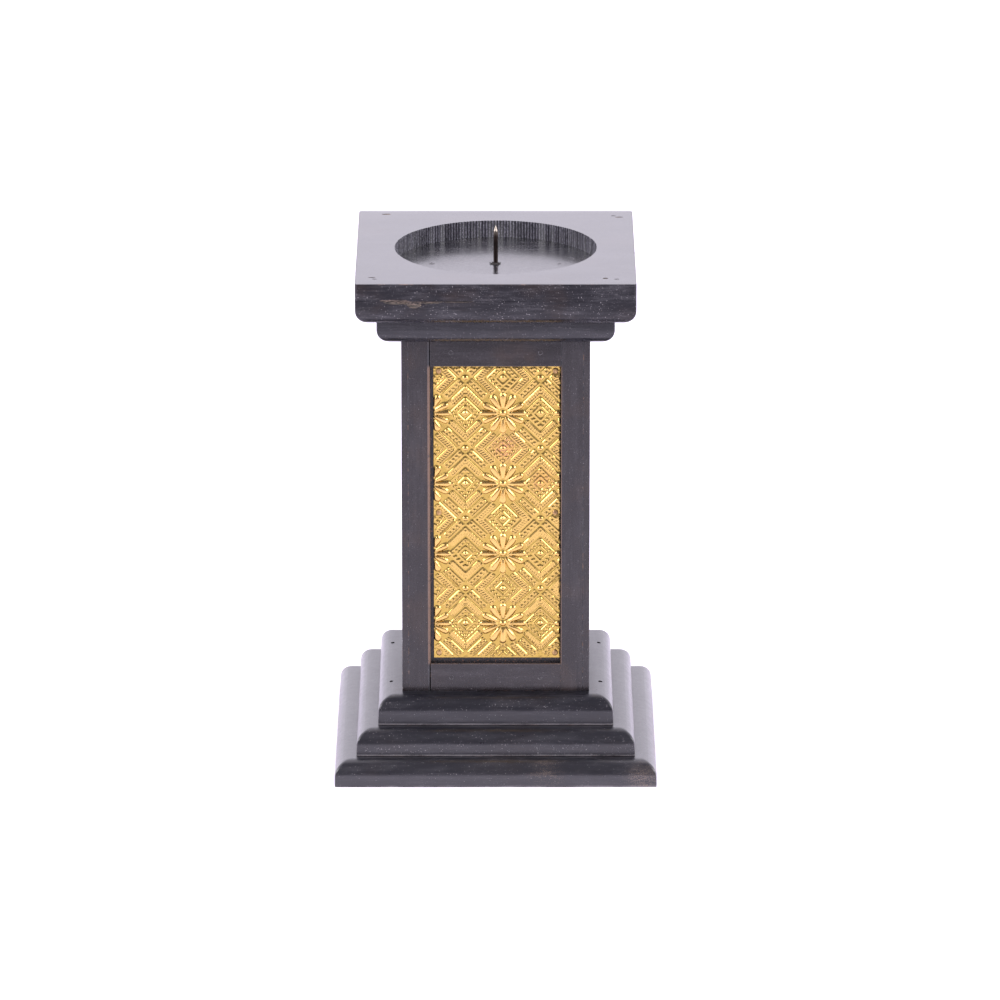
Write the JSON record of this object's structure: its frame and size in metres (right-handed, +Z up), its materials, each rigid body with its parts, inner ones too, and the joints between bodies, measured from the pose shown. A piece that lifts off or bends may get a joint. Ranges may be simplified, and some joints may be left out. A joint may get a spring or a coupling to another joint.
{
  "type": "altar candlestick",
  "caption": "Square wooden pillar candlestick on a stepped base, faced with black strips round embossed brass sheets, with a round candle recess and a spike in its top.",
  "frame": {"origin": "middle of the base's underside", "axes": "+Z up along the post, -Y out of the front face, +X to the front face's right"},
  "size_m": [0.116, 0.116, 0.194],
  "materials": {
    "black_wood": "glossy black stain",
    "bare_wood": "unfinished",
    "embossed_brass": "embossed, tarnished",
    "tack_brass": "dull",
    "nail_steel": "darkened"
  },
  "bodies": {
    "root": {"back_bottom_rail": "black_wood", "back_brass_sheet": "embossed_brass", "back_left_stile": "black_wood", "back_rail_brads": "nail_steel", "back_right_stile": "black_wood", "back_sheet_tacks": "tack_brass", "back_stile_brads": "nail_steel", "back_top_rail": "black_wood", "base_bottom_board": "black_wood", "base_middle_board": "black_wood", "base_top_board": "black_wood", "candle_spike": "nail_steel", "cap_board": "black_wood", "cap_nails": "nail_steel", "foot_nails": "nail_steel", "front_bottom_rail": "black_wood", "front_brass_sheet": "embossed_brass", "front_left_stile": "black_wood", "front_rail_brads": "nail_steel", "front_right_stile": "black_wood", "front_sheet_tacks": "tack_brass", "front_stile_brads": "nail_steel", "front_top_rail": "black_wood", "left_bottom_rail": "black_wood", "left_brass_sheet": "embossed_brass", "left_left_stile": "black_wood", "left_rail_brads": "nail_steel", "left_right_stile": "black_wood", "left_sheet_tacks": "tack_brass", "left_stile_brads": "nail_steel", "left_top_rail": "black_wood", "neck_board": "black_wood", "post": "bare_wood", "right_bottom_rail": "black_wood", "right_brass_sheet": "embossed_brass", "right_left_stile": "black_wood", "right_rail_brads": "nail_steel", "right_right_stile": "black_wood", "right_sheet_tacks": "tack_brass", "right_stile_brads": "nail_steel", "right_top_rail": "black_wood", "top_board": "black_wood", "top_board_brads": "nail_steel", "tread_nails": "nail_steel"}
  },
  "joints": []
}
